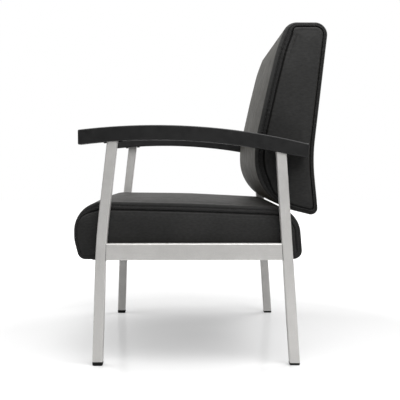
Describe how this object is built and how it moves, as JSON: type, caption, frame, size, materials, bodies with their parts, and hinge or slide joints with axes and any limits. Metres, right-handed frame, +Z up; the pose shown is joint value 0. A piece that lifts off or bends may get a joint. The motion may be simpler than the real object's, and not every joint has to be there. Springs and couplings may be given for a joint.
{
  "type": "bariatric guest chair",
  "caption": "Extra wide upholstered guest chair: padded seat and back in black vinyl on a square tube steel frame with bowed armrests and floor glides.",
  "frame": {"origin": "on the floor, under the middle of the chair's outline", "axes": "+Z up, the sitter faces -Y, +X is the sitter's left"},
  "size_m": [0.808, 0.7023, 0.9419],
  "materials": {
    "silver_powder_coat": "satin metallic powder coat",
    "black_steel": "satin black coat",
    "black_vinyl": "fine grained satin vinyl, topstitched",
    "arm_urethane": "matte self-skinned polyurethane",
    "glide_plastic": "moulded matte plastic",
    "zinc_steel": "zinc plated",
    "plywood": "raw plywood",
    "foam": "open cell foam",
    "dust_cloth": "thin non-woven cloth"
  },
  "bodies": {
    "root": {"left_front_leg": "silver_powder_coat", "left_rear_leg": "silver_powder_coat", "right_front_leg": "silver_powder_coat", "right_rear_leg": "silver_powder_coat", "left_side_rail": "silver_powder_coat", "right_side_rail": "silver_powder_coat", "front_cross_rail": "silver_powder_coat", "rear_cross_rail": "silver_powder_coat", "left_support_bar": "silver_powder_coat", "right_support_bar": "silver_powder_coat", "back_bosses": "silver_powder_coat", "left_front_arm_plate": "black_steel", "left_rear_arm_plate": "black_steel", "right_front_arm_plate": "black_steel", "right_rear_arm_plate": "black_steel", "arm_screws": "black_steel", "seat_cover": "black_vinyl", "back_cover": "black_vinyl", "left_arm": "arm_urethane", "right_arm": "arm_urethane", "left_front_glide": "glide_plastic", "left_rear_glide": "glide_plastic", "right_front_glide": "glide_plastic", "right_rear_glide": "glide_plastic", "seat_bolts": "zinc_steel", "seat_washers": "zinc_steel", "seat_tnuts": "zinc_steel", "back_bolts": "zinc_steel", "back_washers": "zinc_steel", "left_arm_core": "zinc_steel", "right_arm_core": "zinc_steel", "seat_panel": "plywood", "seat_front_apron": "plywood", "seat_rear_apron": "plywood", "back_left_stile": "plywood", "back_right_stile": "plywood", "back_top_rail": "plywood", "back_bottom_rail": "plywood", "back_panel": "plywood", "seat_foam": "foam", "back_foam": "foam", "seat_dust_cover": "dust_cloth"}
  },
  "joints": []
}
